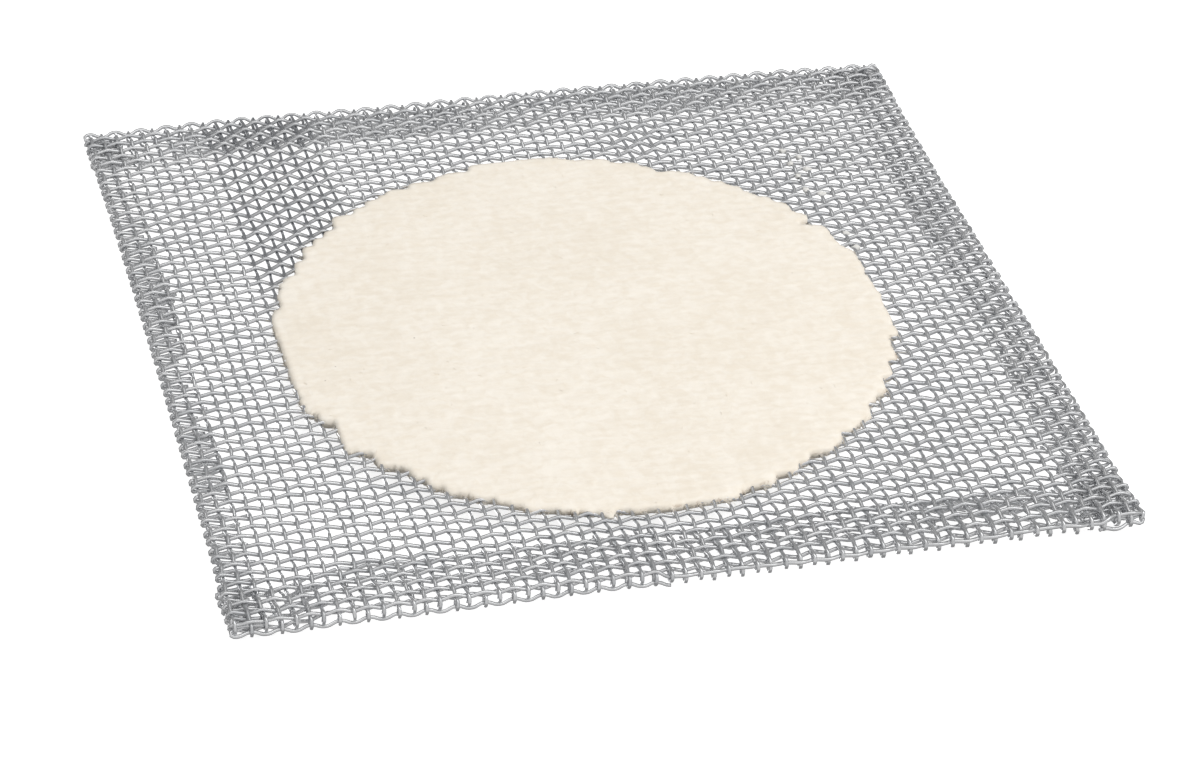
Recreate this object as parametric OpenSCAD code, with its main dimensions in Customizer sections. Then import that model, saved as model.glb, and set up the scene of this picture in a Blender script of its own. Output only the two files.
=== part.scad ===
// Wire gauze with a ceramic-fibre centre, all four edges folded under.
// +X is right, +Y is back, +Z is up. The origin is under the middle, where the hems rest.
// Left-right wires are the weft, front-back wires are the warp. Every wire is one solid: a straight
// run, a bend round the fold at each end and a tail in the hem. The weft lies one layer above the warp.
// Only the wire along the front fold is two: it is broken, with a length missing.

/* [Gauze] */
// Overall width, left to right, over the folds
gauze_w = 150; // [110:1:220]
// Overall depth, front to back, over the folds
gauze_d = 150; // [110:1:220]
// Diameter of the wire
wire_d = 0.55; // [0.4:0.05:0.7]
// Spacing of the front-back wires
warp_pitch = 2.35; // [2:0.05:3.2]
// Spacing of the left-right wires, before it is evened out from fold to fold
weft_pitch = 2.3; // [2:0.05:3.2]
// Air between a wire and the next layer of wires
layer_gap = 0.04; // [0.03:0.01:0.1]

/* [Hems] */
// Width of the left hem, folded under
hem_left = 8; // [6:0.5:20]
// Width of the right hem, folded under
hem_right = 10; // [6:0.5:20]
// Width of the back hem, folded under
hem_back = 9.5; // [6:0.5:20]
// Width of the front hem, folded under
hem_front = 12; // [6:0.5:20]

/* [Ceramic centre] */
// Diameter of the ceramic centre
ceramic_d = 107; // [60:1:130]
// Thickness of the ceramic centre, shared evenly above and below the mesh
ceramic_t = 2.2; // [1.8:0.1:4]
// Place of the ceramic centre, to the right of the middle
ceramic_x = -0.3; // [-5:0.1:5]
// Place of the ceramic centre, behind the middle
ceramic_y = -2.9; // [-5:0.1:5]
// How far the fibre reaches past the wires that it is pressed round
rim_grip = 0.6; // [0.5:0.1:1]
// Clearance between a wire and its channel through the ceramic
channel_gap = 0.01; // [0.005:0.005:0.01]

/* [Wear] */
// Loose end of the broken wire along the front fold, measured from the middle, on the left
break_left = -4.4; // [-40:0.1:-1]
// Loose end of its right-hand stub
break_right = 67.2; // [1:0.1:68]

/* [Hidden] */

// Smoothness of the wire's section and of its bends
wire_fn = 24;
bend_fn = 48;

// One layer of wires: the weft lies half a layer above the middle of the mesh, the warp half a layer below
layer = wire_d + layer_gap;
weft_above = layer / 2;
warp_below = layer / 2;

// The side folds are made first, about an axis one layer under the mesh. The front and back folds go
// round the outside of them: at the corners the innermost wires are the tails of the side hems, and
// they keep just clear of each other round a core of this radius, to a hundredth of a millimetre.
inner_layers = 2.5; // depth of those tails under the middle of the mesh, in layers
least_pitch = 0.9; // spacing of the left-right wires that the core allows for, as a share of theirs
fold_core = ceil(100 * inner_layers * layer * layer / (least_pitch * weft_pitch - layer)) / 100;
side_axis = layer;
end_axis = fold_core + inner_layers * layer;

// Centre-line radius of the weft at a side fold, and of the outermost wire at the front and back folds
side_bend = side_axis + weft_above;
end_bend = end_axis + weft_above;

// Where the folds begin, so that the bends end at the overall sizes
side_fold = gauze_w / 2 - side_bend - wire_d / 2;
end_fold = gauze_d / 2 - end_bend - wire_d / 2;

// Middle of the mesh above the surface that the gauze rests on
mesh_z = end_bend + end_axis + wire_d / 2;

// Length of the mesh's own middle surface round each fold
side_arc = PI * side_axis;
end_arc = PI * end_axis;

// Tails of the wires in the hems, measured back from the start of each fold
tail_left = side_fold - (gauze_w / 2 - hem_left);
tail_right = side_fold - (gauze_w / 2 - hem_right);
tail_back = end_fold - (gauze_d / 2 - hem_back);
tail_front = end_fold - (gauze_d / 2 - hem_front);

// Front-back wires: places along the unfolded mesh, from the middle, positive to the right
function warp_place(i) = i * warp_pitch;
function warp_count_to(end) = floor((end - wire_d / 2) / warp_pitch);
warp_half = floor(side_fold / warp_pitch);
warp_left = -warp_count_to(side_fold + side_arc + tail_left);
warp_right = warp_count_to(side_fold + side_arc + tail_right);

// Left-right wires: evened out so that one lies along each folded edge, positive to the back
weft_half = round((end_fold + end_arc / 2) / weft_pitch);
weft_step = (end_fold + end_arc / 2) / weft_half;
function weft_place(j) = j * weft_step;
function weft_count_to(end) = floor((end - wire_d / 2) / weft_step);
weft_back = weft_count_to(end_fold + end_arc + tail_back);
weft_front = -weft_count_to(end_fold + end_arc + tail_front);

// A place s along the unfolded mesh past a fold that begins at fold and runs for arc: how far the
// mesh has turned there, in degrees, and how far out that place was before it was turned over
function turned(s, fold, arc) = max(0, min(1, (abs(s) - fold) / arc)) * 180;
function reach(s, fold, arc) = abs(s) - max(0, min(arc, abs(s) - fold));

// Front-back wire i once the sides are folded: its place and its height against the mesh's middle,
// to a thousandth of a millimetre so that its run, bends and tails meet face to face
function to_micron(v) = round(v * 1000) / 1000;
function warp_x(i) =
    let (s = warp_place(i), a = turned(s, side_fold, side_arc), r = side_axis - warp_below)
    to_micron(sign(s) * (side_fold + r * sin(a) + (reach(s, side_fold, side_arc) - side_fold) * cos(a)));
function warp_z(i) =
    let (a = turned(warp_place(i), side_fold, side_arc))
    to_micron(-side_axis + (side_axis - warp_below) * cos(a));

// The wires that the ceramic is pressed round
function near_ceramic(place, middle, step) = abs(place - middle) < ceramic_d / 2 + step / 2;
function in_ceramic_x(i) = near_ceramic(warp_place(i), ceramic_x, warp_pitch);
function in_ceramic_y(j) = near_ceramic(weft_place(j), ceramic_y, weft_step);

// Straight wire along X, from x = from to x = to
module straight(from, to) {
    translate([from, 0, 0]) rotate([0, 90, 0])
        cylinder(h = to - from, d = wire_d, $fn = wire_fn);
}

// Half turn round a fold, from above its axis to below it, bulging to +X
module half_turn(radius) {
    rotate([90, 0, 0]) rotate([0, 0, -90])
        rotate_extrude(angle = 180, $fn = bend_fn)
            translate([radius, 0]) circle(d = wire_d, $fn = wire_fn);
}

// One whole wire along X, about the axis of its two folds: run above, tails below
module folded_wire(fold, radius, tail_minus, tail_plus) {
    translate([0, 0, radius]) straight(-fold, fold);
    translate([fold, 0, 0]) half_turn(radius);
    translate([-fold, 0, 0]) mirror([1, 0, 0]) half_turn(radius);
    translate([0, 0, -radius]) straight(-fold, -fold + tail_minus);
    translate([0, 0, -radius]) straight(fold - tail_plus, fold);
}

// Front-back wire i in the folded gauze
module warp_wire(i) {
    translate([warp_x(i), 0, mesh_z - end_axis]) rotate([0, 0, 90])
        folded_wire(end_fold, end_axis + warp_z(i), tail_front, tail_back);
}

// Left-right wire j in the folded gauze, turned over with the mesh at the front and back folds
module weft_wire(j) {
    s = weft_place(j);
    side = s < 0 ? -1 : 1;
    out = reach(s, end_fold, end_arc) - end_fold;
    translate([0, side * end_fold, mesh_z - end_axis])
        rotate([-side * turned(s, end_fold, end_arc), 0, 0])
            translate([0, side * out, end_axis - side_axis])
                folded_wire(side_fold, side_bend, tail_left, tail_right);
}

// Wire along the front fold, missing between its two loose ends
module broken_edge_wire() {
    difference() {
        weft_wire(-weft_half);
        translate([break_left, -gauze_d / 2 - wire_d, 0])
            cube([break_right - break_left, wire_d + side_bend, mesh_z]);
    }
}

// Outline of the fibre: whole meshes of the gauze, filled row by row inside the circle
module filled_meshes() {
    for (j = [-weft_half : weft_half - 1]) {
        middle = (weft_place(j) + weft_place(j + 1)) / 2 - ceramic_y;
        if (abs(middle) < ceramic_d / 2) {
            half_chord = sqrt(pow(ceramic_d / 2, 2) - middle * middle);
            first = ceil((ceramic_x - half_chord) / warp_pitch - 0.5);
            last = floor((ceramic_x + half_chord) / warp_pitch - 0.5) + 1;
            if (last > first)
                translate([warp_place(first) - rim_grip, weft_place(j) - rim_grip])
                    square([warp_place(last) - warp_place(first) + 2 * rim_grip, weft_step + 2 * rim_grip]);
        }
    }
}

// Channels that the wires run through, open at the rim
module wire_channels() {
    channel_d = wire_d + 2 * channel_gap;
    past_rim = 2 * max(warp_pitch, weft_step);
    channel_l = ceramic_d + 2 * past_rim;
    for (i = [-warp_half : warp_half])
        if (in_ceramic_x(i))
            translate([warp_x(i), ceramic_y, -warp_below]) rotate([90, 0, 0])
                cylinder(h = channel_l, d = channel_d, center = true, $fn = wire_fn);
    for (j = [-weft_half : weft_half])
        if (in_ceramic_y(j))
            translate([ceramic_x, weft_place(j), weft_above]) rotate([0, 90, 0])
                cylinder(h = channel_l, d = channel_d, center = true, $fn = wire_fn);
}

// Felted ceramic fibre pressed through the middle of the mesh
module ceramic_centre() {
    color("AntiqueWhite") translate([0, 0, mesh_z]) difference() {
        translate([0, 0, -ceramic_t / 2]) linear_extrude(ceramic_t) filled_meshes();
        wire_channels();
    }
}

// Front-back wires between the left fold and the ceramic
module warp_wires_left() {
    color("LightSlateGray")
        for (i = [-warp_half : -1]) if (!in_ceramic_x(i)) warp_wire(i);
}

// Front-back wires that run through the ceramic
module warp_wires_middle() {
    color("LightSlateGray")
        for (i = [-warp_half : warp_half]) if (in_ceramic_x(i)) warp_wire(i);
}

// Front-back wires between the ceramic and the right fold
module warp_wires_right() {
    color("LightSlateGray")
        for (i = [1 : warp_half]) if (!in_ceramic_x(i)) warp_wire(i);
}

// Front-back wires in the left fold and the hem under it
module warp_wires_left_hem() {
    color("SlateGray") for (i = [warp_left : -warp_half - 1]) warp_wire(i);
}

// Front-back wires in the right fold and the hem under it
module warp_wires_right_hem() {
    color("SlateGray") for (i = [warp_half + 1 : warp_right]) warp_wire(i);
}

// Left-right wires between the front edge and the ceramic
module weft_wires_front() {
    color("Silver")
        for (j = [-weft_half + 1 : -1]) if (!in_ceramic_y(j)) weft_wire(j);
}

// Left-right wires that run through the ceramic
module weft_wires_middle() {
    color("Silver")
        for (j = [-weft_half + 1 : weft_half - 1]) if (in_ceramic_y(j)) weft_wire(j);
}

// Left-right wires between the ceramic and the back edge
module weft_wires_back() {
    color("Silver")
        for (j = [1 : weft_half - 1]) if (!in_ceramic_y(j)) weft_wire(j);
}

// Left-right wires along the front edge and in the hem under it
module weft_wires_front_hem() {
    color("DarkGray") {
        for (j = [weft_front : -weft_half - 1]) weft_wire(j);
        broken_edge_wire();
    }
}

// Left-right wires along the back edge and in the hem under it
module weft_wires_back_hem() {
    color("DarkGray") for (j = [weft_half : weft_back]) weft_wire(j);
}

ceramic_centre();
warp_wires_left();
warp_wires_middle();
warp_wires_right();
warp_wires_left_hem();
warp_wires_right_hem();
weft_wires_front();
weft_wires_middle();
weft_wires_back();
weft_wires_front_hem();
weft_wires_back_hem();
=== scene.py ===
# Wire gauze with a ceramic-fibre centre: woven wires, felted fibre, floor, light and camera.
# Lengths are in millimetres until a mesh is written; Blender gets metres.
import math

import bpy
import numpy as np
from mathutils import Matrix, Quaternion, Vector


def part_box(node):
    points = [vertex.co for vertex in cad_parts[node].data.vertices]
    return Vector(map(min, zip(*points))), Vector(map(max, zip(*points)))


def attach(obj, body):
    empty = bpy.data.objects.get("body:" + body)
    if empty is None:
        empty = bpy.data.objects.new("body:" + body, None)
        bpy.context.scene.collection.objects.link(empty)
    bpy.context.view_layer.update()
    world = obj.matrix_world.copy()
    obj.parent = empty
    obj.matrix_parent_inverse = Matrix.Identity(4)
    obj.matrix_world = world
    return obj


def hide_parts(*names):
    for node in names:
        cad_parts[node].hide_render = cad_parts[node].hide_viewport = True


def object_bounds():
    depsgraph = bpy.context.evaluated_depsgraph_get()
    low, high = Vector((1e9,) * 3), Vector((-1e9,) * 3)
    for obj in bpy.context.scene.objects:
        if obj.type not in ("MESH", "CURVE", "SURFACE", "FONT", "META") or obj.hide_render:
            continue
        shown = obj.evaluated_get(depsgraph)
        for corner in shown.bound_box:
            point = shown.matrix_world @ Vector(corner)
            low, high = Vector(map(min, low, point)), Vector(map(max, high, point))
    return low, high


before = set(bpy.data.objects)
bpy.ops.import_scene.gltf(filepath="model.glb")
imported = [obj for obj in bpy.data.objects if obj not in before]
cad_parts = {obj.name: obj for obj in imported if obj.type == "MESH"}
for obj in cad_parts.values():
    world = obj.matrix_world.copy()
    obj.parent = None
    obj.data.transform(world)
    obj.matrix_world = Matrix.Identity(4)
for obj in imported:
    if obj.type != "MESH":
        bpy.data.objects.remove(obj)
cadLow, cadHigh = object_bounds()
mm = 0.001
halfWidth = (cadHigh.x - cadLow.x) / 2 / mm
halfDepth = (cadHigh.y - cadLow.y) / 2 / mm
fibreLow, fibreHigh = (np.array(corner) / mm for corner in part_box("ceramic_centre"))
fibreMiddle = (fibreLow + fibreHigh) / 2
meshZ = fibreMiddle[2]
print("frame loaded:", len(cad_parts), "nodes")


def ease(t):
    # 3 t^2 - 2 t^3 between 0 and 1, flat outside
    t = np.clip(t, 0, 1)
    return t * t * (3 - 2 * t)


def rise(x, start, full):
    # 0 as far as start, easing to 1 at full, which may lie to either side of start
    return ease((x - start) / (full - start))


def band(x, low, high, soft):
    # 1 between low and high, easing to 0 over soft outside them
    return ease((x - low) / soft + 1) * ease((high - x) / soft + 1)


def bell(x, middle, reach):
    # exp(-((x - middle) / reach)^2)
    return np.exp(-((x - middle) / reach) ** 2)


def ripple(x, y, seed, wavelength, waves=7):
    # sum of sines in random directions, sin(2 pi (x cos a + y sin a) / length + phase), about unit height
    rng = np.random.default_rng(seed)
    total = 0
    for turn, stretch, phase in rng.uniform(0, 1, (waves, 3)):
        across = x * math.cos(math.pi * turn) + y * math.sin(math.pi * turn)
        total = total + np.sin(2 * np.pi * (across / (wavelength * (0.7 + stretch)) + phase))
    return total / math.sqrt(waves / 2)


def wander(along, count, seed, wavelength, waves=5):
    # for each of count wires a sum of sines of the distance along it, with its own phases, about unit height
    rng = np.random.default_rng(seed)
    total = 0
    for _ in range(waves):
        length = wavelength * rng.uniform(0.6, 1.6, (count, 1))
        total = total + np.sin(2 * np.pi * (along / length + rng.uniform(0, 1, (count, 1))))
    return total / math.sqrt(waves / 2)


def unit(vectors):
    # each vector divided by its own length
    return vectors / np.maximum(np.linalg.norm(vectors, axis=-1, keepdims=True), 1e-9)


def meshObject(name, points, faces, attributes=None):
    # points in mm and a list of face arrays, each (count, corners), put into a mesh object in metres
    mesh = bpy.data.meshes.new(name)
    mesh.vertices.add(len(points))
    mesh.vertices.foreach_set("co", (points * mm).astype(np.float32).ravel())
    sizes = np.concatenate([np.full(len(f), f.shape[1]) for f in faces])
    mesh.loops.add(int(sizes.sum()))
    mesh.loops.foreach_set("vertex_index", np.concatenate([f.ravel() for f in faces]).astype(np.int32))
    mesh.polygons.add(len(sizes))
    mesh.polygons.foreach_set("loop_start", (np.cumsum(sizes) - sizes).astype(np.int32))
    mesh.update(calc_edges=True)
    mesh.validate()
    for key, values in (attributes or {}).items():
        data = mesh.attributes.new(key, "FLOAT", "POINT").data
        data.foreach_set("value", values.astype(np.float32).ravel())
    piece = bpy.data.objects.new(name, mesh)
    bpy.context.scene.collection.objects.link(piece)
    return piece


gauze = {
    "wire": 0.65,             # wire diameter with its zinc
    "wireSwell": 0.12,        # how much thicker the wire is towards the right
    "swellBand": (20, 62, 10),  # from, to and softness of that, across
    "warpPitch": 2.35,        # front-back wires, left to right
    "weftPitch": 2.286,       # left-right wires, mean of front and back
    "weftCrowding": 0.0016,   # how much the rows close up towards the back, per row squared
    "edgeRow": 33,            # number of the weft wire along the front and back folds
    # where the sheet turns over, in wires from the middle
    "leftApex": 32.5,
    "rightApex": 32.0,
    "frontApex": 32.63,
    "backApex": 33.4,
    "sideRadius": 0.52,       # middle of the sheet round a side fold
    "frontRadius": 0.95,      # the same at the front and at the back, away from the corners
    "backRadius": 0.93,
    "cornerRadius": 1.28,     # and at the corners, round the side hems
    "cornerReach": (57, 67),  # where the end folds swell to the corner size
    "leastRadius": 0.15,      # of a side hem's inner layers, inside an end fold
    "edgeInset": 0.68,        # sheet's middle at the folds, inside the overall size
    "hemGap": 1.25,           # the front hem closes up to this far under the sheet, over hemClosing
    "hemClosing": 3.0,
    "hemWaves": 0.05,         # waves of a hem up and down, per mm away from its fold
    "waveLength": 45,
    "backWaves": 0.4,         # share of them that the back hem has
    "hemPlace": 40,           # where the two hems of a pair sit in the patterns of waves and skew
    "sideSag": 0.03,          # how far the side hems hang down, per mm away from their folds
    "cornerDroop": 0.07,      # and the front and back hems at the corners
    "edgeBreak": (-4.4, 67.2),  # ends of the broken wire along the front fold, across
    "bareSlide": 1.15,        # how far the row next to it has slid out between them
    "slidRow": (-32, 0.8),    # that row, and how many rows share in its slide
    "slideSoft": 3,
    "hemShift": (0.5, 0.75),  # how far the front and back hems lie to the right, and how soon
    "shiftReach": 2,
    "hemSkew": 0.05,          # how far a hem runs askew, per mm away from its fold
    "skewLength": 60,
    "cornerHold": 0.7,        # share of shift and skew that the corners don't have
    "frontLeftSkew": 0.10,    # skew of the left hem towards the front corner as well
    "frontLeft": (-15, -50),  # where that begins and is full, front to back
    "dome": 0.35,             # corners lower than the middle
    "rumple": 0.09,           # slow waves up and down
    "rumpleLength": 55,
}
# how far each folded edge stands out of a straight line, at places along it
edgeLines = {
    "left": ((-75, 0.1), (-66, 0.3), (-57, 0), (-10, -0.2), (45, 0.05), (75, 0.5)),
    "right": ((-75, 0.6), (-62, 0.1), (0, 0), (30, -0.3), (52, 0), (75, 0.5)),
    "front": ((-75, -0.5), (-60, 0.1), (-10, -0.3), (3, 0.1), (15, -0.2), (32, -0.7), (45, -1.1), (56, -1.2),
              (75, -1.9)),
    "back": ((-75, -0.1), (-45, 0.1), (0, -0.15), (30, 0), (60, -0.1), (75, 0)),
}


def bulge(edge, along):
    # an edge's line: straight pieces between its stated places
    places, heights = zip(*edgeLines[edge])
    return np.interp(along, places, heights)


def weftPlace(row):
    # rows evened out between the two folds, row * pitch - crowding * (row^2 - edge row^2)
    return row * gauze["weftPitch"] - gauze["weftCrowding"] * (row * row - gauze["edgeRow"] ** 2)


def turnOver(s, n, apex, radius, edge, closing, droop):
    # a sheet folded back under itself at s = +-apex, n off its middle surface:
    # flat, then (radius + n) (sin a, cos a) about the fold's axis, then back underneath, coming up by closing
    start = apex - np.pi / 2 * radius
    angle = np.clip((np.abs(s) - start) / radius, 0, np.pi)
    back = np.maximum(np.abs(s) - start - np.pi * radius, 0)
    flat = np.minimum(np.abs(s), start) * (edge - radius) / start
    out = flat + (radius + n) * np.sin(angle) - back
    up = (radius + n) * np.cos(angle) - radius + closing * ease(back / gauze["hemClosing"]) + droop * back
    return np.sign(s) * out, up, back


def sheet(column, row, n):
    # place of the gauze at warp number column and weft number row, n off the sheet's middle:
    # the sides are turned under first, then the front and back round the outside of them
    u = column * gauze["warpPitch"]
    v = weftPlace(row)
    side = gauze["hemPlace"] * np.sign(u)
    edge = halfWidth - gauze["edgeInset"] + np.where(u < 0, bulge("left", v), bulge("right", v))
    apex = np.where(u < 0, gauze["leftApex"], gauze["rightApex"]) * gauze["warpPitch"]
    droop = gauze["hemWaves"] * ripple(v, side, seed=31, wavelength=gauze["waveLength"]) - gauze["sideSag"]
    x, h, back = turnOver(u, n, apex, gauze["sideRadius"], edge, 0, droop)
    turned = gauze["hemSkew"] * ripple(v, side, seed=21, wavelength=gauze["skewLength"])
    turned = turned - gauze["frontLeftSkew"] * rise(v, *gauze["frontLeft"]) * (u < 0)
    v = v + back * turned
    slid = band(x, *gauze["edgeBreak"], gauze["slideSoft"]) * bell(row, *gauze["slidRow"])
    v = v - gauze["bareSlide"] * slid

    end = gauze["hemPlace"] * np.sign(v)
    corner = rise(np.abs(x), *gauze["cornerReach"])
    radius = np.where(v < 0, gauze["frontRadius"], gauze["backRadius"])
    radius = radius + (gauze["cornerRadius"] - radius) * corner
    h = np.maximum(h, gauze["leastRadius"] - radius)
    edge = halfDepth - gauze["edgeInset"] + np.where(v < 0, bulge("front", x), bulge("back", x))
    apex = np.where(v < 0, -weftPlace(-gauze["frontApex"]), weftPlace(gauze["backApex"]))
    closing = np.where(v < 0, 2 * gauze["frontRadius"] - gauze["hemGap"], 0) * (1 - corner)
    waves = gauze["hemWaves"] * np.where(v < 0, 1, gauze["backWaves"])
    waves = waves * ripple(x, end, seed=32, wavelength=gauze["waveLength"])
    droop = waves - gauze["cornerDroop"] * corner
    y, z, back = turnOver(v, h, apex, radius, edge, closing, droop)
    shift = np.where(v < 0, *gauze["hemShift"]) * ease(back / gauze["shiftReach"])
    skew = gauze["hemSkew"] * back * ripple(x, end, seed=22, wavelength=gauze["skewLength"])
    x = x + (skew + shift) * (1 - gauze["cornerHold"] * corner)
    low = (x / halfWidth) ** 2 * (y / halfDepth) ** 2
    z = z - gauze["dome"] * low + gauze["rumple"] * ripple(x, y, seed=11, wavelength=gauze["rumpleLength"])
    return np.stack(np.broadcast_arrays(x, y, meshZ + z), axis=-1)


crimp = {
    # how far the warp and the weft swing off the sheet's middle
    "tight": (0.29, 0.28),
    "loose": (0.43, 0.28),
    "straightWarp": (0.08, 0.47),
    "sideFold": (0.30, 0.24),
    "backFold": (0.12, 0.34),
    "frontFold": (0.24, 0.26),
    "bareFold": (0.26, 0.26),  # where the wire along the fold is missing
    "bareSoft": 2,
    "foldSqueeze": 0.13,      # how much closer the wires lie at the front and back folds
    "unevenness": 0.10,       # how much it varies, and over what length
    "unevenLength": 22,
    # where it is loose: the place where that begins and the place where it is full
    "looseLeft": (-30, -44),
    "looseBack": (12, 32),
    "looseRight": (48, 62),
    "rightShare": 0.4,        # how loose it gets at the right
    # where the warp is straight: a patch at the back left, whose wires also get a painted dark reflection,
    # and a small one at the back right
    "patchAcross": (-52.5, -35.5),
    "patchSoft": 3,
    "patchBack": (8, 20),
    "smallAcross": (20, 27, 1.5),
    "smallBack": (50, 60, 2),
    # number of the wire along a side or an end fold, and how many wires share its crimp
    "sideWire": (32.2, 1.0),
    "endWire": (33, 1.3),
}


def swing(column, row):
    # heights of warp and weft off the sheet's middle, eased from one part of the gauze to the next
    x, y = column * gauze["warpPitch"], weftPlace(row)
    looseness = np.maximum(rise(x, *crimp["looseLeft"]), rise(y, *crimp["looseBack"]))
    looseness = np.maximum(looseness, crimp["rightShare"] * rise(x, *crimp["looseRight"]))
    patch = band(x, *crimp["patchAcross"], crimp["patchSoft"]) * rise(y, *crimp["patchBack"])
    straight = np.maximum(patch, band(x, *crimp["smallAcross"]) * band(y, *crimp["smallBack"]))
    side = bell(np.abs(column), *crimp["sideWire"])
    end = bell(np.abs(row), *crimp["endWire"])
    bare = band(x, *gauze["edgeBreak"], crimp["bareSoft"])
    vary = 1 + crimp["unevenness"] * ripple(x, y, seed=5, wavelength=crimp["unevenLength"])
    both = []
    for k in (0, 1):
        tight, loose, folded = crimp["tight"][k], crimp["loose"][k], crimp["frontFold"][k]
        height = (tight + (loose - tight) * looseness) * (vary if k == 0 else 2 - vary)
        height = height + (crimp["straightWarp"][k] - height) * straight
        height = height + (crimp["sideFold"][k] - height) * side
        front = folded + (crimp["bareFold"][k] - folded) * bare
        height = height + (np.where(row < 0, front, crimp["backFold"][k]) - height) * end
        both.append(height)
    short = np.maximum(gauze["wire"] - crimp["foldSqueeze"] * end - both[0] - both[1], 0) / 2
    return both[0] + short, both[1] + short


def wave(t, point):
    # over and under once in two meshes: cos(pi t) with some of its third harmonic, tips kept at +-1
    return (np.cos(np.pi * t) + point * np.cos(3 * np.pi * t)) / (1 + point)


def tubes(centres, across, there, rings, radius, sides):
    # round wires along centres (wire, ring, xyz), turned so that a corner faces across, where there is wire
    # and with only the rings to keep: centre + radius (cos b * across + sin b * normal), with flat caps
    along = unit(np.gradient(centres, axis=1))
    normal = unit(np.cross(along, across))
    across = np.cross(normal, along)
    turn = 2 * np.pi * np.arange(sides) / sides
    spoke = np.cos(turn)[:, None] * across[:, :, None] + np.sin(turn)[:, None] * normal[:, :, None]
    points = centres[:, :, None] + radius * spoke
    begins = there & ~np.pad(there, ((0, 0), (1, 0)))[:, :-1]
    stops = there & ~np.pad(there, ((0, 0), (0, 1)))[:, 1:]
    keep = there & (rings | begins | stops)
    run = np.cumsum(begins.ravel())[keep.ravel()]
    wire = np.nonzero(keep)[0]
    points = points[keep].reshape(-1, 3)
    same = run[1:] == run[:-1]
    first = np.flatnonzero(same) * sides
    k = np.arange(sides)
    a, b = first[:, None] + k, first[:, None] + (k + 1) % sides
    quads = np.stack([a, b, b + sides, a + sides], axis=-1).reshape(-1, 4)
    starts = np.flatnonzero(np.r_[True, ~same]) * sides
    ends = np.flatnonzero(np.r_[~same, True]) * sides
    caps = np.concatenate([starts[:, None] + k[::-1], ends[:, None] + k])
    return points, quads, caps, wire


wires = {
    "sides": 6,
    "ringsPerMesh": 6,        # rings from one crossing to the next
    "fibreMargin": 5.5,       # further than this inside the fibre's rim one ring a mesh is enough
    "crimpPoint": 0.11,       # how pointed the over-and-under wave is, and along the front and back folds
    "foldPoint": -0.06,
    "slip": 0.13,             # sideways wander of a wire, long and short
    "slipLength": 16,
    "jitter": 0.035,
    "jitterLength": 4,
    "frontTail": 38.3,        # wire ends in the hems, in rows and columns from the middle
    "backTail": 37.4,
    "leftTail": 35.15,
    "rightTail": 35.9,
    "tailSpread": 0.35,       # unevenness of the ends, and the most of it
    "tailMost": 0.8,
    "looseFall": (0.35, 0.6),  # how far the left and right loose ends of the broken wire hang free
    "looseWay": (0, 0.55, 0.6),  # outwards and down
    "looseReach": 7,
    "paintedDarkSoft": 2,            # edge of the patch of painted dark reflection, and the share of that painted shade that its weft has
    "paintedDarkWeft": 0.15,
}


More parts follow.
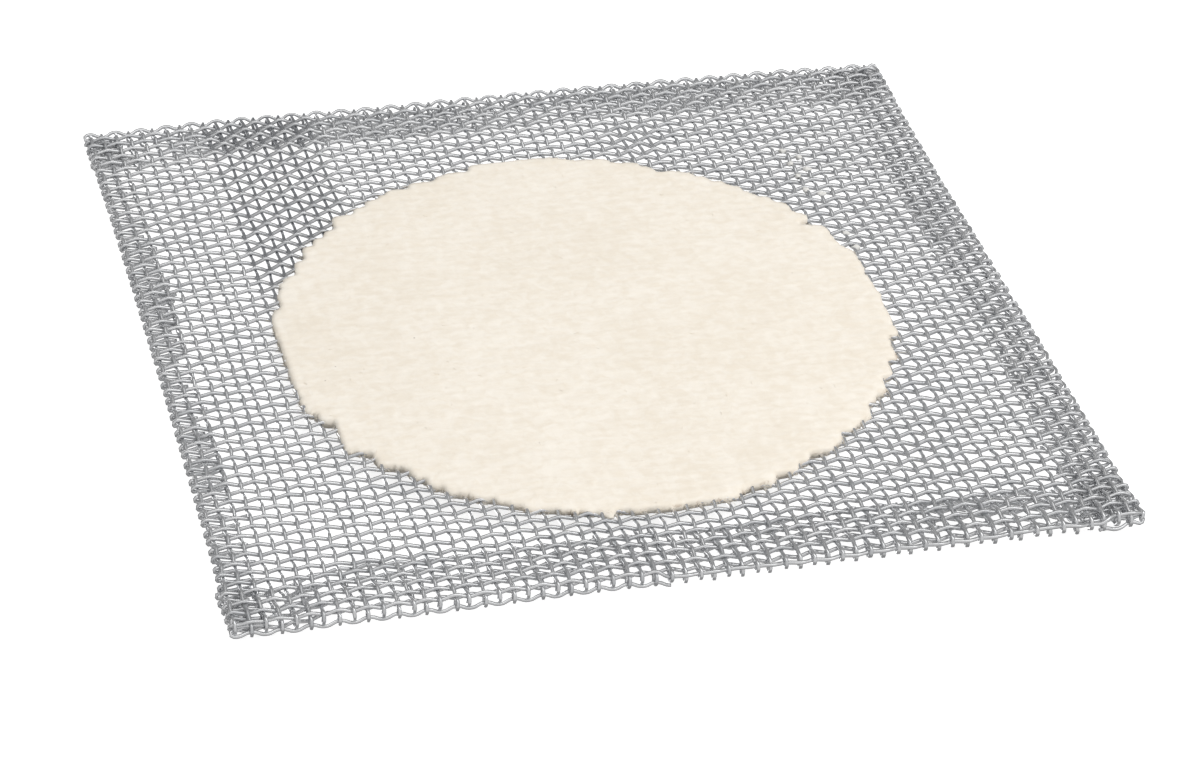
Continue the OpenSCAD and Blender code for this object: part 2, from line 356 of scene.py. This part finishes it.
def weaveWires(name, numbers, isWarp, seed):
    # a group of parallel wires on the folded sheet, crimped over and under the wires that cross them
    rng = np.random.default_rng(seed)
    count = len(numbers)
    low, high = ("frontTail", "backTail") if isWarp else ("leftTail", "rightTail")
    low, high = -wires[low], wires[high]
    steps = wires["ringsPerMesh"]
    at = np.arange(math.floor((low - 1) * steps), math.ceil((high + 1) * steps) + 1) / steps
    at = np.broadcast_to(at, (count, len(at)))
    mine = np.asarray(numbers, float)[:, None]
    most = wires["tailMost"]
    spread = np.clip(wires["tailSpread"] * rng.standard_normal((2, count, 1)), -most, most)
    there = (at >= low + spread[0]) & (at <= high + spread[1])
    slip = wires["slip"] * wander(at, count, seed + 1, wires["slipLength"])
    slip = slip + wires["jitter"] * wander(at, count, seed + 2, wires["jitterLength"])
    slip = slip / gauze["warpPitch"]
    column, row = (mine + slip, at) if isWarp else (at, mine + slip)
    warpSwing, weftSwing = swing(column, row)
    fold = 0 if isWarp else bell(np.abs(mine), *crimp["endWire"])
    point = wires["crimpPoint"] + (wires["foldPoint"] - wires["crimpPoint"]) * fold
    over = np.where(mine % 2 == 0, 1, -1) * wave(at, point)
    off = warpSwing * over if isWarp else -weftSwing * over
    centres = sheet(column, row, off)
    nudge = 0.02              # part of a mesh, to find the direction across
    if isWarp:
        across = unit(sheet(column + nudge, row, off) - sheet(column - nudge, row, off))
    else:
        across = unit(sheet(column, row + nudge, off) - sheet(column, row - nudge, off))
        breakLow, breakHigh = gauze["edgeBreak"]
        edgeWire = mine == -gauze["edgeRow"]
        x = at * gauze["warpPitch"]
        there = there & ~(edgeWire & (x > breakLow) & (x < breakHigh))
        leftFall, rightFall = wires["looseFall"]
        leftFree = leftFall * band(x, breakLow, 0, wires["looseReach"])
        rightFree = rightFall * band(x, 0, breakHigh, wires["looseReach"]) * (x > 0)
        centres = centres - (edgeWire * (leftFree + rightFree))[..., None] * np.array(wires["looseWay"])

    inside = np.hypot(centres[..., 0] - fibreMiddle[0], centres[..., 1] - fibreMiddle[1])
    hidden = inside < (fibreHigh[0] - fibreLow[0]) / 2 - wires["fibreMargin"]
    rings = ~hidden | (np.abs(at - np.round(at)) < 1e-6)
    swell = gauze["wireSwell"] * band(centres[..., 0], *gauze["swellBand"])
    radius = gauze["wire"] / 2 * (1 + swell)[..., None, None]
    points, quads, caps, wire = tubes(centres, across, there, rings, radius, wires["sides"])
    tone = np.repeat(rng.uniform(0, 1, count)[wire], wires["sides"])
    # painted shade: the back left patch is marked for darkening in place of a dark reflection, fully on warp
    # and a little on weft
    paintedDark = band(points[:, 0], *crimp["patchAcross"], wires["paintedDarkSoft"])
    paintedDark = paintedDark * rise(points[:, 1], *crimp["patchBack"]) * (1.0 if isWarp else wires["paintedDarkWeft"])
    piece = meshObject(name, points, [quads, caps], {"wireTone": tone, "paintedDarkReflection": paintedDark})
    smooth = np.ones(len(quads) + len(caps), bool)
    smooth[len(quads):] = False
    piece.data.polygons.foreach_set("use_smooth", smooth)
    print(name, count, "wires", len(quads) * 2 + len(caps) * (wires["sides"] - 2), "triangles")
    return piece


# each group's CAD node, the numbers of its wires from the middle, and whether they are warp
wireGroups = {
    "warpLeft": ("warp_wires_left", range(-31, -23), True),
    "warpMiddle": ("warp_wires_middle", range(-23, 24), True),
    "warpRight": ("warp_wires_right", range(24, 32), True),
    "warpLeftHem": ("warp_wires_left_hem", range(-35, -31), True),
    "warpRightHem": ("warp_wires_right_hem", range(32, 36), True),
    "weftFront": ("weft_wires_front", range(-32, -25), False),
    "weftMiddle": ("weft_wires_middle", range(-25, 23), False),
    "weftBack": ("weft_wires_back", range(23, 33), False),
    "weftFrontHem": ("weft_wires_front_hem", range(-38, -32), False),
    "weftBackHem": ("weft_wires_back_hem", range(33, 38), False),
}
wirePieces = []
for seed, (name, (node, numbers, isWarp)) in enumerate(wireGroups.items()):
    piece = weaveWires(name, numbers, isWarp, 100 + 10 * seed)
    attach(piece, "root")
    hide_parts(node)
    wirePieces.append(piece)


fibre = {
    "stepsPerMesh": 5,
    "reach": 26,              # meshes from the middle to the side of the grid, one more front to back
    "radius": 53.4,
    "shift": (-1.15, 0.35),   # its outline off the middle, longer front to back, and leaning
    "stretch": 1.013,
    "lean": 0.021,
    "raggedness": 0.55,       # how unevenly the meshes at the rim are filled
    "rimWidth": 1.6,          # how wide the rim is where a mesh may be partly filled
    "rimMargin": 1.0,         # how far outside the radius the depth of a point is counted from
    "outlineNoise": 0.03,
    "rimSlide": 0.4,          # the furthest that a point of the rim moves to reach the outline
    "crown": 0.93,            # top above the middle of the mesh
    "rimFall": 0.50,          # how far it drops at the rim, and over what distance
    "rimReach": 1.1,
    "edgeFall": 0.14,         # further drop of the last points
    "rib": 0.035,             # ribs over the wires, with a share for weft and for warp
    "ribShares": (0.75, 0.35),
    "rimRibs": (2, 3),        # how much stronger they get at the rim, and over what distance
    "lumps": 0.035,           # unevenness, with a share for broad lumps and for fine ones
    "lumpShares": (0.6, 0.6),
    "lumpLength": 9,
    "fringe": 700,            # loose fibres round the rim
    "fringeLengths": (0.4, 1.5),
    "fringeHeights": (-0.2, 0.25),
    "fringeSpread": 0.9,      # how far their directions scatter, and how much less up and down
    "fringeFlatness": 0.35,
    "fringeRoot": 0.3,        # how far inside the rim they start
    "fringeCurl": 0.5,
    "fringeDepths": (0.0, 0.6, 5.0),  # rimDepth that they are coloured by
    "lyingFibres": 90,        # others lying on the top
    "lyingLengths": (0.25, 0.9),
    "lyingLift": (0.04, 0.02),  # height of their start, and slope
    "lyingCurl": 0.25,
    "lyingDepth": 5.0,
    "fibreRadius": 0.035,
    "fibreRings": 5,
    "fibreSides": 3,
    # bits of fibre caught in the mesh, at the back right
    "bits": ((48.2, 45.0), (50.5, 42.4), (48.5, 40.7), (50.9, 38.5), (48.5, 36.2), (48.8, 31.6), (51.2, 30.1),
             (51.6, 16.4), (52.0, 11.7)),
    "bitRadii": ((0.45, 0.5, 0.3), (0.8, 0.8, 0.45)),
    "bitHeight": (0.35, 0.1),  # above the middle of the mesh, and its spread
    "bitRoughness": 0.22,
    "bitDepth": 300.0,        # rimDepth that marks them
}


def fibreDistance(x, y):
    # from the middle of the fibre, measured so that its outline is at one radius all round
    dx, dy = x - fibreMiddle[0] - fibre["shift"][0], y - fibreMiddle[1] - fibre["shift"][1]
    return np.hypot(dx, (dy - fibre["lean"] * dx) / fibre["stretch"])


def boxBlur(grid, reach):
    # mean over a square of 2 reach + 1 cells, along each axis in turn
    for axis in (0, 1):
        padded = np.pad(grid, [(reach, reach) if a == axis else (0, 0) for a in (0, 1)], mode="edge")
        total = np.cumsum(np.insert(padded, 0, 0, axis=axis), axis=axis)
        width = 2 * reach + 1
        grid = (np.take(total, range(width, total.shape[axis]), axis) -
                np.take(total, range(total.shape[axis] - width), axis)) / width
    return grid


def fibreGrid(rng):
    # how full of fibre the gauze is on a grid of steps per mesh: for each mesh, between 0 and 1,
    # 0.5 + (radius - distance + raggedness * chance) / rim width, then blurred, with a little noise
    steps, reach = fibre["stepsPerMesh"], fibre["reach"]
    column = np.arange(-reach * steps, reach * steps + 1) / steps
    row = np.arange(-(reach + 1) * steps, (reach + 1) * steps + 1) / steps
    tiny = 1e-6
    meshC, meshR = np.meshgrid(np.floor(column + tiny) + 0.5, np.floor(row + tiny) + 0.5, indexing="ij")
    chances = rng.standard_normal((2 * reach + 2, 2 * reach + 4))
    chance = chances[(meshC + reach).astype(int), (meshR + reach + 1).astype(int)]
    distance = fibreDistance(meshC * gauze["warpPitch"], weftPlace(meshR))
    spare = fibre["radius"] - distance + fibre["raggedness"] * chance
    filled = np.clip(0.5 + spare / fibre["rimWidth"], 0, 1)
    level = boxBlur(boxBlur(filled, 1), 1) + fibre["outlineNoise"] * rng.standard_normal(filled.shape)
    gridC, gridR = np.meshgrid(column, row, indexing="ij")
    return level, gridC, gridR


def borderOf(corners, total):
    # edges of four-cornered faces that belong to one face only, each running the way its face does
    edges = np.concatenate([corners[:, [k, (k + 1) % 4]] for k in range(4)])
    order = np.sort(edges, 1)
    _, first, times = np.unique(order[:, 0] * total + order[:, 1], return_index=True, return_counts=True)
    return edges[first[times == 1]]


def strands(starts, directions, lengths, curl, rng):
    # fine fibres: start + s * direction, bent sideways by curl * s^2
    s = np.linspace(0, 1, fibre["fibreRings"])[:, None]
    side = unit(np.cross(directions, [0, 0, 1]))
    bend = curl * rng.standard_normal((len(starts), 1, 1))
    run = lengths[:, None, None] * s
    centres = starts[:, None] + run * directions[:, None] + bend * run ** 2 * side[:, None]
    across = np.broadcast_to(side[:, None], centres.shape)
    there = np.ones(centres.shape[:2], bool)
    points, quads, caps, _ = tubes(centres, across, there, there, fibre["fibreRadius"], fibre["fibreSides"])
    return points, quads, caps


def lump(place, radii, rng):
    # a small uneven ball on a grid of turns and heights: place + radii * direction * (1 + roughness)
    turns, lifts = 9, 5
    poles = turns * lifts
    turn = 2 * np.pi * np.arange(turns) / turns
    lift = np.pi * np.arange(1, lifts + 1) / (lifts + 1)
    turn, lift = np.meshgrid(turn, lift, indexing="ij")
    ball = np.stack([np.cos(turn) * np.sin(lift), np.sin(turn) * np.sin(lift), np.cos(lift)], -1)
    ball = ball * (1 + fibre["bitRoughness"] * rng.standard_normal(ball.shape[:2]))[..., None]
    points = np.concatenate([ball.reshape(-1, 3), [[0, 0, 1], [0, 0, -1]]]) * radii + place
    index = np.arange(poles).reshape(turns, lifts)
    nextTurn = np.roll(index, -1, axis=0)
    quads = np.stack([index[:, :-1], index[:, 1:], nextTurn[:, 1:], nextTurn[:, :-1]], -1).reshape(-1, 4)
    top = np.stack([index[:, 0], nextTurn[:, 0], np.full(turns, poles)], -1)
    bottom = np.stack([nextTurn[:, -1], index[:, -1], np.full(turns, poles + 1)], -1)
    return points, quads, np.concatenate([top, bottom])


def fibreCentre(name):
    # one closed skin where the grid is more than half full: its top and bottom are
    # mesh middle +- (crown - fall at the rim + ribs) + lumps, with a wall round the rim
    rng = np.random.default_rng(4)
    level, gridC, gridR = fibreGrid(rng)
    flatX, flatY, flatZ = np.moveaxis(sheet(gridC, gridR, 0 * gridC), -1, 0)
    inside = level > 0.5
    quad = inside[:-1, :-1] & inside[1:, :-1] & inside[1:, 1:] & inside[:-1, 1:]
    index = np.arange(level.size).reshape(level.shape)
    corners = np.stack([index[:-1, :-1], index[1:, :-1], index[1:, 1:], index[:-1, 1:]], -1)[quad]
    border = borderOf(corners, level.size)
    rim = np.unique(border)

    # points of the rim slide down the slope of the filling as far as the outline
    slopeX = np.gradient(level, axis=0) / (gauze["warpPitch"] / fibre["stepsPerMesh"])
    slopeY = np.gradient(level, axis=1) / (gauze["weftPitch"] / fibre["stepsPerMesh"])
    leastSlope = 0.02
    steep = np.maximum(slopeX ** 2 + slopeY ** 2, leastSlope)
    over = np.zeros(level.shape)
    over.ravel()[rim] = level.ravel()[rim] - 0.5
    most = fibre["rimSlide"]
    flatX = flatX - np.clip(over * slopeX / steep, -most, most)
    flatY = flatY - np.clip(over * slopeY / steep, -most, most)

    depth = np.maximum(fibre["radius"] + fibre["rimMargin"] - fibreDistance(flatX, flatY), 0)
    thick = fibre["crown"] - fibre["rimFall"] * np.exp(-depth / fibre["rimReach"])
    thick = thick - np.where(over > 0, fibre["edgeFall"], 0)
    weftShare, warpShare = fibre["ribShares"]
    ribs = fibre["rib"] * (weftShare * np.cos(2 * np.pi * gridR) + warpShare * np.cos(2 * np.pi * gridC))
    stronger, distance = fibre["rimRibs"]
    ribs = ribs * (1 + stronger * np.exp(-depth / distance))
    broad, fine = fibre["lumpShares"]
    broad = broad * ripple(flatX, flatY, seed=8, wavelength=fibre["lumpLength"], waves=12)
    lumps = fibre["lumps"] * (broad + fine * rng.standard_normal(level.shape))
    top = np.stack([flatX, flatY, flatZ + thick + ribs + lumps], -1).reshape(-1, 3)
    bottom = np.stack([flatX, flatY, flatZ - thick - ribs + lumps[::-1]], -1).reshape(-1, 3)

    used = np.unique(corners)
    renumber = np.zeros(level.size, int)
    renumber[used] = np.arange(len(used))
    corners, border = renumber[corners], renumber[border]
    count = len(used)
    walls = np.stack([border[:, 1], border[:, 0], border[:, 0] + count, border[:, 1] + count], -1)
    skin = np.concatenate([corners, corners[:, ::-1] + count, walls])
    parts = [(np.concatenate([top[used], bottom[used]]), skin, np.zeros((0, 3), int))]
    depths = [np.tile(depth.ravel()[used], 2)]

    # loose fibres that lean out of the rim, and others that lie on the top
    strandPoints = fibre["fibreRings"] * fibre["fibreSides"]
    rooted = rng.choice(rim, fibre["fringe"])
    out = -np.stack([slopeX.ravel()[rooted], slopeY.ravel()[rooted], np.zeros(len(rooted))], -1)
    scatter = fibre["fringeSpread"] * rng.standard_normal((len(rooted), 3)) * [1, 1, fibre["fringeFlatness"]]
    out = unit(unit(out) + scatter)
    heights = rng.uniform(*fibre["fringeHeights"], (len(rooted), 1)) * [[0, 0, 1]]
    start = np.stack([flatX, flatY, flatZ], -1).reshape(-1, 3)[rooted] + heights - fibre["fringeRoot"] * out
    lengths = rng.uniform(*fibre["fringeLengths"], len(rooted))
    parts.append(strands(start, out, lengths, fibre["fringeCurl"], rng))
    depths.append(np.repeat(rng.choice(fibre["fringeDepths"], len(rooted)), strandPoints))
    lying = rng.choice(used[depth.ravel()[used] > 1], fibre["lyingFibres"])
    turn = rng.uniform(0, 2 * np.pi, len(lying))
    lift, slope = fibre["lyingLift"]
    along = np.stack([np.cos(turn), np.sin(turn), slope + 0 * turn], -1)
    lengths = rng.uniform(*fibre["lyingLengths"], len(lying))
    parts.append(strands(top[lying] + [0, 0, lift], along, lengths, fibre["lyingCurl"], rng))
    depths.append(np.full(strandPoints * len(lying), fibre["lyingDepth"]))
    height, spread = fibre["bitHeight"]
    for x, y in fibre["bits"]:
        place = np.array([x, y, meshZ + height + spread * rng.standard_normal()])
        parts.append(lump(place, rng.uniform(*fibre["bitRadii"]), rng))
        depths.append(np.full(len(parts[-1][0]), fibre["bitDepth"]))

    points, faces, shift = [], [], 0
    for partPoints, partQuads, partRest in parts:
        points.append(partPoints)
        faces += [partQuads + shift, partRest + shift]
        shift += len(partPoints)
    points = np.concatenate(points)
    faces = [group for group in faces if len(group)]
    piece = meshObject(name, points, faces, {"rimDepth": np.concatenate(depths)})
    piece.data.polygons.foreach_set("use_smooth", np.ones(len(piece.data.polygons), bool))
    print(name, sum(len(group) * (group.shape[1] - 2) for group in faces), "triangles")
    return piece


centre = fibreCentre("ceramicCentre")
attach(centre, "root")
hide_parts("ceramic_centre")


class Value:
    # a number socket that takes part in Python arithmetic, each operation adding a Math node
    def __init__(self, graph, socket):
        self.graph, self.socket = graph, socket

    def math(self, operation, *others):
        sockets = dict(enumerate((self, *others)))
        return self.graph.add("ShaderNodeMath", {"operation": operation}, sockets).value()

    def __add__(self, other):
        return self.math("ADD", other)

    __radd__ = __add__

    def __sub__(self, other):
        return self.math("SUBTRACT", other)

    def __rsub__(self, other):
        return (self * -1).math("ADD", other)

    def __mul__(self, other):
        return self.math("MULTIPLY", other)

    __rmul__ = __mul__


class Node:
    # a node, whose outputs are given as numbers for arithmetic or as plain sockets
    def __init__(self, graph, node):
        self.graph, self.node = graph, node

    def value(self, output=0):
        return Value(self.graph, self.node.outputs[output])

    def out(self, output=0):
        return self.node.outputs[output]


class Graph:
    # one node tree; add() makes any node from its type, its settings, and values or links of its sockets
    def __init__(self, tree):
        self.tree = tree
        tree.nodes.clear()

    def add(self, kind, settings=None, sockets=None):
        node = self.tree.nodes.new(kind)
        for key, setting in (settings or {}).items():
            setattr(node, key, setting)
        for key, given in (sockets or {}).items():
            given = given.socket if isinstance(given, Value) else given
            if isinstance(given, bpy.types.NodeSocket):
                self.tree.links.new(given, node.inputs[key])
            else:
                node.inputs[key].default_value = given
        return Node(self, node)

    def place(self):
        return self.add("ShaderNodeTexCoord").out("Object")

    def noise(self, vector, scale, detail=4, rough=0.55, twist=0.0):
        return self.add("ShaderNodeTexNoise", {}, {"Vector": vector, "Scale": scale, "Detail": detail,
                                                   "Roughness": rough, "Distortion": twist}).value(0)

    def attribute(self, name):
        return self.add("ShaderNodeAttribute", {"attribute_name": name}).value("Fac")

    def rise(self, value, start, full):
        # 0 at start, easing to 1 at full
        return self.add("ShaderNodeMapRange", {"interpolation_type": "SMOOTHSTEP"}, {
            "Value": value, "From Min": start, "From Max": full, "To Min": 0.0, "To Max": 1.0}).value(0)

    def mixColour(self, factor, first, second):
        return self.add("ShaderNodeMix", {"data_type": "RGBA"}, {0: factor, 6: first, 7: second}).out(2)

    def bump(self, height, strength, distance):
        return self.add("ShaderNodeBump", {}, {"Height": height, "Strength": strength,
                                               "Distance": distance}).out("Normal")

    def seen(self, rays):
        # 1 for what the camera sees directly or through a clear piece
        return rays.value("Is Camera Ray").math("MAXIMUM", rays.value("Is Transmission Ray"))

    def finish(self, shader, output="ShaderNodeOutputMaterial"):
        self.add(output, {}, {"Surface": shader})


steel = {
    "zinc": (0.78, 0.785, 0.795, 1),
    "oxide": (0.62, 0.63, 0.645, 1),
    "straight": (0.42, 0.43, 0.45, 1),  # painted dark reflection on the patch of straight warp
    "roughness": 0.15,        # of clean zinc, and what oxide and grain add
    "oxideRough": 0.10,
    "grainRough": 0.08,
    "metallic": 0.92,
    "blotchScale": 260,       # noises, in cells per metre
    "grainScale": 2600,
    "oxideFrom": (0.42, 0.72),  # noise where oxide begins and is full
    "wireShare": 0.35,        # how far that noise is shifted from wire to wire, and by the grain
    "grainShare": 0.3,
    "oxideMost": 0.75,
    # share of the painted dark reflection where it is full
    "paintedDarkMost": 0.85,
    "bump": (0.3, 0.00003),   # strength and height in metres of the grain
}


def steelMaterial():
    # drawn wire with spangled zinc: blotches of oxide that differ from wire to wire, a fine grain, and a
    # patch painted darker to stand in for a dark reflection
    material = bpy.data.materials.new("drawnSteelWire")
    material.use_nodes = True
    g = Graph(material.node_tree)
    place = g.place()
    tone = g.attribute("wireTone")
    paintedDark = g.attribute("paintedDarkReflection")
    blotch = g.noise(place, steel["blotchScale"], detail=3, rough=0.6)
    grain = g.noise(place, steel["grainScale"], detail=4, rough=0.65)
    shifted = blotch + steel["wireShare"] * (tone - 0.5) + steel["grainShare"] * (grain - 0.5)
    oxide = g.rise(shifted, *steel["oxideFrom"])
    colour = g.mixColour(oxide * steel["oxideMost"], steel["zinc"], steel["oxide"])
    # painted shade: the patch is darkened towards the straight colour in place of a dark reflection
    colour = g.mixColour(paintedDark * steel["paintedDarkMost"], colour, steel["straight"])
    rough = steel["roughness"] + steel["oxideRough"] * oxide + steel["grainRough"] * grain
    shader = g.add("ShaderNodeBsdfPrincipled", {}, {
        "Base Color": colour, "Metallic": steel["metallic"], "Roughness": rough,
        "Normal": g.bump(grain, *steel["bump"])})
    g.finish(shader.out())
    return material


felt = {
    "light": (0.925, 0.868, 0.775, 1),
    "warm": (0.845, 0.767, 0.65, 1),
    "speck": (0.36, 0.30, 0.25, 1),
    # brown of scorching, also used as painted shade in the hollows at the rim
    "scorchAndShade": (0.30, 0.17, 0.09, 1),
    "bit": (0.78, 0.77, 0.74, 1),
    # noises, in cells per metre, and the shares of the first three in the felt's colour
    "cloudScale": 55,
    "mottleScale": 420,
    "streakScale": 900,
    "fuzzScale": 1700,
    "shares": (0.20, 0.50, 0.30),
    "streakDraw": (0.4, 1, 1),  # streaks are drawn out from left to right
    "warmFrom": (0.34, 0.66),
    "speckScale": 210,
    "speckSize": (0.05, 0.02),  # edge of a speck
    "speckPatches": 90,
    "speckFrom": (0.55, 0.65),
    "scorchShadeRim": (1.25, 0.2),  # rimDepth where scorching and painted rim shade begin and are full, and noise where they are
    "scorchShadeFrom": (0.54, 0.64),
    "markMost": 0.6,          # strength of specks and of the scorching with its painted rim shade
    "bitFrom": (200, 250),
    "bump": (0.55, 0.00022),  # strength, height in metres, and the shares of fuzz and mottle in it
    "bumpShares": (0.6, 0.8),
    "roughness": 0.94,
    "specular": 0.15,
    "sheen": (0.12, 0.6),     # weight and roughness
}


def feltMaterial():
    # pressed fibre: mottled cream with fine streaks, a few specks, and scorching along the rim, which is also
    # painted shade in the hollows where the wires leave it
    material = bpy.data.materials.new("feltedCeramicFibre")
    material.use_nodes = True
    g = Graph(material.node_tree)
    place = g.place()
    rim = g.attribute("rimDepth")
    cloud = g.noise(place, felt["cloudScale"], detail=3, rough=0.5)
    mottle = g.noise(place, felt["mottleScale"], detail=5, rough=0.6, twist=0.6)
    fuzz = g.noise(place, felt["fuzzScale"], detail=5, rough=0.7, twist=1.2)
    drawn = g.add("ShaderNodeVectorMath", {"operation": "MULTIPLY"}, {0: place, 1: felt["streakDraw"]}).out()
    streak = g.noise(drawn, felt["streakScale"], detail=3)
    cloudShare, mottleShare, streakShare = felt["shares"]
    blend = cloudShare * cloud + mottleShare * mottle + streakShare * streak
    colour = g.mixColour(g.rise(blend, *felt["warmFrom"]), felt["light"], felt["warm"])
    cells = g.add("ShaderNodeTexVoronoi", {"feature": "F1"}, {"Vector": place, "Scale": felt["speckScale"]})
    patches = g.rise(g.noise(place, felt["speckPatches"], detail=1), *felt["speckFrom"])
    specks = g.rise(cells.value("Distance"), *felt["speckSize"]) * patches
    colour = g.mixColour(specks * felt["markMost"], colour, felt["speck"])
    # scorch-brown in the outer rim: partly real scorching, partly painted shade of the hollows where the
    # wires leave the felt
    scorchShadeNoise = g.rise(g.noise(place, felt["mottleScale"], detail=4, rough=0.7), *felt["scorchShadeFrom"])
    scorchAndShade = g.rise(rim, *felt["scorchShadeRim"]) * scorchShadeNoise
    colour = g.mixColour(scorchAndShade * felt["markMost"], colour, felt["scorchAndShade"])
    colour = g.mixColour(g.rise(rim, *felt["bitFrom"]), colour, felt["bit"])
    fuzzHeight, mottleHeight = felt["bumpShares"]
    normal = g.bump(fuzzHeight * fuzz + mottleHeight * mottle, *felt["bump"])
    sheen, sheenRough = felt["sheen"]
    shader = g.add("ShaderNodeBsdfPrincipled", {}, {
        "Base Color": colour, "Roughness": felt["roughness"], "Specular IOR Level": felt["specular"],
        "Sheen Weight": sheen, "Sheen Roughness": sheenRough, "Normal": normal})
    g.finish(shader.out())
    return material


wireSteel = steelMaterial()
for piece in wirePieces:
    piece.data.materials.append(wireSteel)
centre.data.materials.append(feltMaterial())
print("materials ready")


setting = {
    "floorSize": 4.0,
    "floorColour": (0.50, 0.50, 0.50, 1),
    "floorGlow": 0.84,        # the floor's own white, for camera rays only
    "skyStrength": 0.53,
    # brightness of what the metal sees: a lit strip overhead from back left to front right, walls,
    # the one in front lighter, and the foot of a white sweep behind the gauze, lower on its left
    "ceiling": 1.5,
    "walls": 0.31,
    "frontWall": 0.66,
    "sweepBehind": 2.2,
    # where they are, as directions with x right, y back and z up: each edge begins and is full
    "stripLean": 0.4,         # the strip's edges run along y + lean * x
    "stripFront": (-0.34, -0.22),
    "stripBack": (0.26, 0.14),
    "stripLeft": (-0.46, -0.28),
    "stripRight": (0.80, 0.62),
    "stripBottom": (0.0, 0.2),
    "wallBack": (0.0, -0.30),
    "wallBottom": (-0.75, -0.35),
    "footBottom": (-0.78, -0.62),
    "footTop": (0.14, 0.02),
    "footLean": 1.5,          # the foot's left edge runs along z - lean * x
    "footLeft": (0.29, 0.19),
    "footFront": (0.55, 0.75),
    "softbox": (0.8, 0.8),
    "softboxPlace": (0.40, -0.35, 0.95),
    "softboxPower": 8.2,
}


def paleFloor():
    # a square at z = 0 that takes shadows, and glows white for the camera only
    size = setting["floorSize"] / 2 / mm
    corners = np.array([[-size, -size, 0], [size, -size, 0], [size, size, 0], [-size, size, 0]], float)
    floor = meshObject("floor", corners, [np.array([[0, 1, 2, 3]])])
    material = bpy.data.materials.new("paleFloor")
    material.use_nodes = True
    g = Graph(material.node_tree)
    glowing = g.seen(g.add("ShaderNodeLightPath")) * setting["floorGlow"]
    matt = g.add("ShaderNodeBsdfDiffuse", {}, {"Color": setting["floorColour"]})
    glow = g.add("ShaderNodeEmission", {}, {"Color": (1, 1, 1, 1), "Strength": glowing})
    g.finish(g.add("ShaderNodeAddShader", {}, {0: matt.out(), 1: glow.out()}).out())
    floor.data.materials.append(material)
    floor.visible_glossy = False


def paleWorld():
    # white to the camera; the metal sees walls + ceiling strip + front wall + sweep, each of the last
    # three a product of its edges times how much brighter than the walls it is
    world = bpy.data.worlds.new("paleWorld")
    bpy.context.scene.world = world
    world.use_nodes = True
    g = Graph(world.node_tree)
    rays = g.add("ShaderNodeLightPath")
    seen = g.seen(rays)
    mirrored = rays.value("Is Glossy Ray")
    way = g.add("ShaderNodeTexCoord").out("Generated")
    parts = g.add("ShaderNodeSeparateXYZ", {}, {0: way})
    x, y, z = (parts.value(k) for k in range(3))

    def lit(brightness, *edges):
        product = setting[brightness] - setting["walls"]
        for along, edge in edges:
            product = product * g.rise(along, *setting[edge])
        return product

    across = y + setting["stripLean"] * x
    ceiling = lit("ceiling", (across, "stripFront"), (across, "stripBack"), (x, "stripLeft"),
                  (x, "stripRight"), (z, "stripBottom"))
    front = lit("frontWall", (y, "wallBack"), (z, "wallBottom"))
    sweep = lit("sweepBehind", (z, "footBottom"), (z, "footTop"), (z - setting["footLean"] * x, "footLeft"),
                (y, "footFront"))
    strength = seen + mirrored * (ceiling + front + sweep + setting["walls"])
    strength = strength + (1 - seen) * (1 - mirrored) * setting["skyStrength"]
    sky = g.add("ShaderNodeBackground", {}, {"Color": (1, 1, 1, 1), "Strength": strength})
    g.finish(sky.out(), "ShaderNodeOutputWorld")


def softLight(name, place, size, power):
    # a rectangular lamp at place, turned towards the origin and not mirrored in the metal
    lamp = bpy.data.lights.new(name, "AREA")
    lamp.shape = "RECTANGLE"
    lamp.size, lamp.size_y = size
    lamp.energy = power
    holder = bpy.data.objects.new(name, lamp)
    holder.location = place
    holder.rotation_euler = (-holder.location).to_track_quat("-Z", "Y").to_euler()
    holder.visible_glossy = False
    bpy.context.scene.collection.objects.link(holder)


view = {
    "aim": (-0.00260, -0.02047, 0.0045),  # metres, as the distance is
    "distance": 0.7049,
    "azimuth": 15.96,         # degrees that the camera stands to the left of straight in front
    "elevation": 34.29,
    "roll": 3.06,
    "lens": 126.76,
    "sensor": 36,
}


def setCamera():
    # at aim + distance * direction to the camera, looking at aim and turned about that line by roll
    camera = bpy.data.cameras.new("camera")
    camera.lens = view["lens"]
    camera.sensor_width = view["sensor"]
    holder = bpy.data.objects.new("camera", camera)
    turn, lift = math.radians(view["azimuth"]), math.radians(view["elevation"])
    back = np.array([-math.sin(turn) * math.cos(lift), -math.cos(turn) * math.cos(lift), math.sin(lift)])
    holder.location = np.array(view["aim"]) + view["distance"] * back
    holder.rotation_mode = "QUATERNION"
    look = Vector(-back).to_track_quat("-Z", "Y")
    holder.rotation_quaternion = Quaternion(Vector(-back), math.radians(-view["roll"])) @ look
    bpy.context.scene.collection.objects.link(holder)
    bpy.context.scene.camera = holder


paleFloor()
paleWorld()
softLight("softbox", setting["softboxPlace"], setting["softbox"], setting["softboxPower"])
setCamera()
bpy.context.scene.view_settings.view_transform = "Standard"
print("floor, light and camera set")
